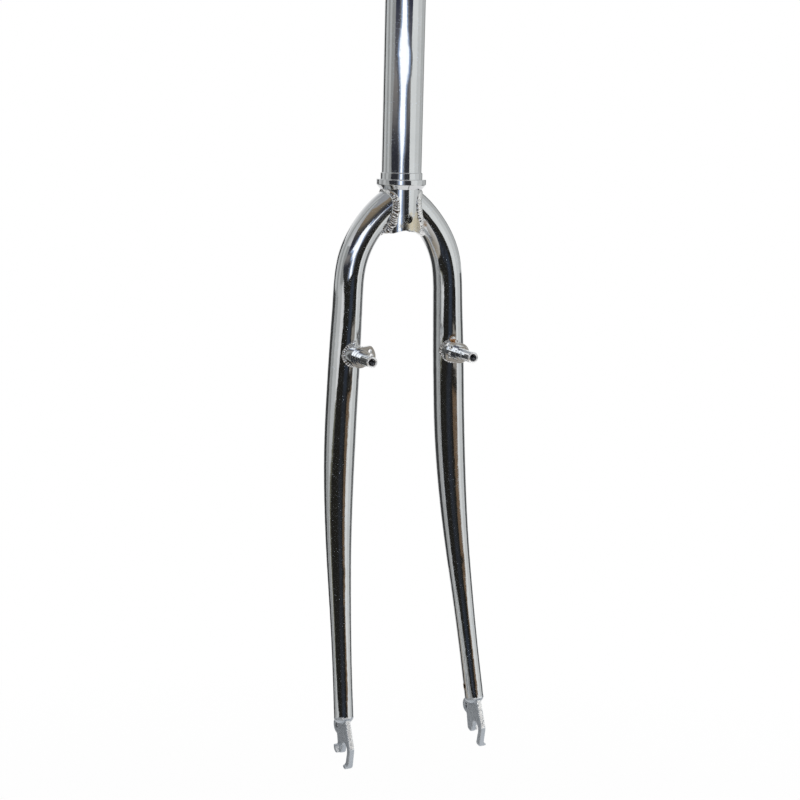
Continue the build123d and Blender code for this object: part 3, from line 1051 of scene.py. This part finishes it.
def thread(mount, pitch):
    """Points and faces of a helical ridge on the wall of a threaded hole."""
    axis = Vector(mount["axis"])
    middle = Vector(mount["pos_m"])
    radius = mount["dims"]["r_mm"] * MM
    length = mount["dims"]["length_mm"] * MM - THREAD_MARGIN * pitch
    side = axis.orthogonal().normalized()
    other = axis.cross(side)
    steps = round(length / pitch * TURN_STEPS)
    points = []
    for step in range(steps + 1):
        turn = 2 * math.pi * step / TURN_STEPS
        way = side * math.cos(turn) + other * math.sin(turn)
        taper = max(THREAD_LEAST, min(1.0, step / RUN_OUT_STEPS, (steps - step) / RUN_OUT_STEPS))
        centre = middle + axis * (length * (step / steps - 0.5))
        for along, rise in THREAD_PROFILE:
            points.append(centre + axis * along * pitch + way * (radius - rise * pitch * taper))
    corners = len(THREAD_PROFILE)
    faces = ring_faces(steps + 1, corners)
    faces.append(tuple(range(corners)))
    faces.append(tuple(range(corners * steps, corners * (steps + 1))))
    return points, faces


# Pieces


def add_piece(name, points, faces, slot, materials, grooves=(), second_from=None):
    """A piece of the fork. Faces from second_from on take the second material."""
    mesh = mesh_from(name, points, faces)
    made = bmesh.new()
    made.from_mesh(mesh)
    bmesh.ops.recalc_face_normals(made, faces=made.faces)
    made.to_mesh(mesh)
    made.free()
    shares = mesh.attributes.new("groove", "FLOAT", "POINT")
    shares.data.foreach_set("value", list(grooves) + [0.0] * (len(points) - len(grooves)))
    piece = new_object(name, mesh, *materials)
    if second_from is not None:
        for face in mesh.polygons[second_from:]:
            face.material_index = 1
    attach(piece, "root")
    return piece


def add_copy(name, mesh, replaced):
    """A piece that takes the place of a node and has the mesh that was made from it."""
    piece = new_object(name, mesh)
    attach(piece, "root")
    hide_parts(replaced)
    return piece


def add_arched_steerer():
    """The steerer, with its lower end cut to a low arch between the blades."""
    source = nodes["steerer_tube"].data
    normals = [corner.vector.copy() for corner in source.corner_normals]
    mesh = source.copy()
    end = min(vertex.co.z for vertex in mesh.vertices)
    for vertex in mesh.vertices:
        if vertex.co.z < end + CUT_DEPTH:
            vertex.co.z += ARCH_RISE * max(0.0, 1 - (vertex.co.x / ARCH_HALF_WIDTH) ** 2)
    mesh.normals_split_custom_set(normals)
    add_copy("arched_steerer", mesh, "steerer_tube")


def even_normals(mesh):
    """Corner normals of a mesh, evened out over each smooth skin and kept at its sharp edges."""
    corners = [corner.vector.copy() for corner in mesh.corner_normals]
    sums = [Vector() for vertex in mesh.vertices]
    areas = [0.0] * len(mesh.vertices)
    for face in mesh.polygons:
        for corner in face.loop_indices:
            place = mesh.loops[corner].vertex_index
            sums[place] += corners[corner] * face.area
            areas[place] += face.area
    smooth = kdtree.KDTree(len(mesh.vertices))
    for vertex in mesh.vertices:
        if sums[vertex.index].length > SAME_SKIN * areas[vertex.index]:
            smooth.insert(vertex.co, vertex.index)
    smooth.balance()
    evened = []
    for vertex in mesh.vertices:
        own = sums[vertex.index].normalized()
        total = Vector()
        for _, other, distance in smooth.find_range(vertex.co, POLISH_RADIUS):
            if own.dot(sums[other]) > SAME_SKIN * areas[other]:
                total += sums[other] * (1 - distance / POLISH_RADIUS)
        evened.append(total.normalized() if total.length else own)
    for corner, loop in enumerate(mesh.loops):
        if corners[corner].dot(evened[loop.vertex_index]) > SAME_SKIN:
            corners[corner] = evened[loop.vertex_index]
    return corners


def add_polished_blade(name):
    """A blade whose reflections follow the tube, and not the facets of its mesh."""
    source = nodes[name + "_blade"].data
    mesh = source.copy()
    mesh.normals_split_custom_set(even_normals(source))
    add_copy(name + "_polished_blade", mesh, name + "_blade")


def add_forged_end(name):
    """A fork end with its edges rounded as a forging's are."""
    mesh = nodes[name + "_dropout"].data.copy()
    piece = add_copy(name + "_fork_end", mesh, name + "_dropout")
    skin = piece.modifiers.new("skin", "REMESH")
    skin.mode = "VOXEL"
    skin.voxel_size = EDGE_GRAIN
    soft = piece.modifiers.new("soft", "SMOOTH")
    soft.factor = EDGE_SOFTNESS
    soft.iterations = EDGE_ROUNDS
    shaped = piece.evaluated_get(bpy.context.evaluated_depsgraph_get())
    piece.data = bpy.data.meshes.new_from_object(shaped)
    piece.modifiers.clear()
    piece.data.polygons.foreach_set("use_smooth", [True] * len(piece.data.polygons))


def add_crown_bead(name, side, finishes):
    """The weld between the steerer and a blade."""
    seam = crown_seam(side, CROWN_FLARE[name])
    points, faces, grooves = bead(seam, CROWN_REACH, CROWN_RISE[name], CROWN_PITCH)
    grooves = [CROWN_GROOVE[name] * share for share in grooves]
    piece = add_piece(name + "_crown_bead", points, faces, "weld", [finishes["weld"]], grooves)
    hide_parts(name + "_crown_weld")


def add_boss_bead(name, side, finishes):
    """The weld round a boss, with a drop of filler above it."""
    points, faces, grooves = bead(boss_seam(side), BOSS_REACH, BOSS_RISE, BOSS_PITCH)
    drop_place = Vector((side * POST_X, -BLADE_RADIUS, DROP_HEIGHT - POST_DROP))
    drop_points, drop_faces = lumpy_ball(drop_place, DROP_RADIUS)
    shift = len(points)
    drop_start = len(faces)
    points += drop_points
    faces += [tuple(shift + corner for corner in face) for face in drop_faces]
    materials = [finishes["weld"], finishes[DROP_FINISH[name]]]
    piece = add_piece(name + "_boss_bead", points, faces, "weld", materials, grooves, drop_start)
    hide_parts(name + "_boss_weld")


def add_tip_dome(name, side, finishes):
    """The weld that closes a blade's tip."""
    piece = add_piece(name + "_tip_dome", *lumpy_dome(side), "weld", [finishes["satin_plate"]])
    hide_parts(name + "_dropout_weld")


def add_threads(name, finishes):
    """The threads in a brake post and in an eyelet."""
    steel = [finishes["thread"]]
    post, eyelet = mounts[name + "_post_bolt"], mounts[name + "_eyelet"]
    add_piece(name + "_post_thread", *thread(post, POST_PITCH), "chrome_tube", steel)
    add_piece(name + "_eyelet_thread", *thread(eyelet, EYELET_PITCH), "satin_plate", steel)


def add_pieces(finishes):
    add_arched_steerer()
    for name, side in SIDES:
        add_crown_bead(name, side, finishes)
        add_boss_bead(name, side, finishes)
        add_tip_dome(name, side, finishes)
        add_polished_blade(name)
        add_forged_end(name)
        add_threads(name, finishes)


add_camera()
add_studio()
finishes = add_materials()
dress_nodes(finishes)
add_pieces(finishes)

bpy.context.scene.view_settings.view_transform = "Standard"
